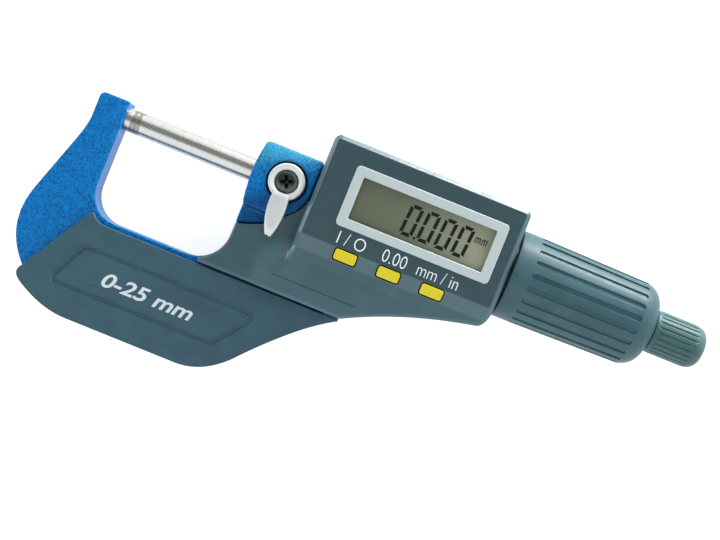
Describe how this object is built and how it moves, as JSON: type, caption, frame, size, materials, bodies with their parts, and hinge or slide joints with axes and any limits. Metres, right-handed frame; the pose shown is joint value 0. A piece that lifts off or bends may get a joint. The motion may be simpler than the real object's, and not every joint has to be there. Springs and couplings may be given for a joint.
{
  "type": "outside micrometer",
  "caption": "Digital outside micrometer, 0-25 mm: C-frame with grip plates, display housing, fluted thimble, ratchet stop and spindle lock.",
  "frame": {"origin": "point on the spindle axis where the two measuring faces meet", "axes": "+X along the spindle towards the ratchet, +Y towards the top of the display housing, +Z out of the display"},
  "size_m": [0.1881, 0.0737, 0.0264],
  "materials": {
    "blue_cast": "hammertone paint",
    "ground_steel": "ground",
    "carbide": "lapped",
    "grey_plastic": "fine grain",
    "silver_plastic": "satin silver",
    "clear": "clear",
    "lcd": "satin",
    "yellow_rubber": "satin",
    "lever_metal": "satin chrome",
    "black_steel": "black oxide",
    "zinc_steel": "zinc plated",
    "bronze": "machined",
    "spring_steel": "drawn",
    "board_green": "solder mask",
    "black_resin": "moulded",
    "white_plastic": "moulded",
    "conductive_rubber": "matt",
    "film_brown": "film",
    "gold_contact": "plated",
    "cell_steel": "nickel plated",
    "seal_rubber": "matt",
    "aluminium_tube": "satin"
  },
  "bodies": {
    "frame": {"frame": "blue_cast", "anvil": "ground_steel", "anvil_tip": "carbide", "lock_bush": "bronze", "front_grip_plate": "grey_plastic", "rear_grip_plate": "grey_plastic", "grip_plate_screws": "zinc_steel", "front_cover": "grey_plastic", "rear_cover": "grey_plastic", "cover_screws": "zinc_steel", "display_bezel": "silver_plastic", "display_window": "clear", "lcd_panel": "lcd", "lcd_holder": "white_plastic", "contact_strips": "conductive_rubber", "main_board": "board_green", "controller_chip": "black_resin", "board_connector": "white_plastic", "ribbon_cable": "film_brown", "key_domes": "spring_steel", "board_screws": "zinc_steel", "encoder_stator": "board_green", "inner_sleeve": "ground_steel", "adjusting_nut": "zinc_steel", "barrel": "aluminium_tube", "barrel_seal": "seal_rubber", "coin_cell": "cell_steel", "battery_contact_positive": "gold_contact", "battery_contact_negative": "gold_contact"},
    "rotor": {"encoder_rotor": "board_green", "rotor_hub": "bronze", "rotor_spring": "spring_steel"},
    "spindle": {"spindle": "ground_steel", "spindle_tip": "carbide", "thimble_core": "aluminium_tube", "thimble": "grey_plastic", "ratchet_stem": "ground_steel", "ratchet_disc": "zinc_steel"},
    "ratchet": {"ratchet_knob": "grey_plastic", "ratchet_pawl": "zinc_steel", "ratchet_spring": "spring_steel"},
    "lock": {"lock_lever": "lever_metal", "lock_screw": "black_steel", "lock_cam": "ground_steel"},
    "on_off_key": {"on_off_button": "yellow_rubber"},
    "zero_key": {"zero_button": "yellow_rubber"},
    "unit_key": {"unit_button": "yellow_rubber"},
    "battery_lid": {"battery_cap": "grey_plastic", "battery_seal": "seal_rubber"}
  },
  "joints": [
    {"name": "thimble_turn", "type": "hinge", "parent": "frame", "child": "rotor", "pos_m": [0.0635, 0, 0], "axis": [1, 0, 0], "range_deg": [0, 18288]},
    {"name": "spindle_travel", "type": "slide", "parent": "rotor", "child": "spindle", "axis": [1, 0, 0], "range_m": [0, 0.0254]},
    {"name": "ratchet_turn", "type": "hinge", "parent": "spindle", "child": "ratchet", "pos_m": [0.16, 0, 0], "axis": [1, 0, 0], "continuous": true},
    {"name": "lock_turn", "type": "hinge", "parent": "frame", "child": "lock", "pos_m": [0.0449, 0, 0.008], "axis": [0, 0, 1], "range_deg": [-60, 0]},
    {"name": "on_off_press", "type": "slide", "parent": "frame", "child": "on_off_key", "axis": [0, 0, -1], "range_m": [0, 0.0004], "stiffness_N_per_m": 1500, "springref_m": -0.0002},
    {"name": "zero_press", "type": "slide", "parent": "frame", "child": "zero_key", "axis": [0, 0, -1], "range_m": [0, 0.0004], "stiffness_N_per_m": 1500, "springref_m": -0.0002},
    {"name": "unit_press", "type": "slide", "parent": "frame", "child": "unit_key", "axis": [0, 0, -1], "range_m": [0, 0.0004], "stiffness_N_per_m": 1500, "springref_m": -0.0002},
    {"name": "battery_cap_turn", "type": "hinge", "parent": "frame", "child": "battery_lid", "pos_m": [0.088, 0.001, -0.012], "axis": [0, 0, -1], "range_deg": [0, 45]}
  ],
  "couplings": [
    {"joint": "thimble_turn", "follows": "spindle_travel", "rad_per_m": 12566}
  ]
}
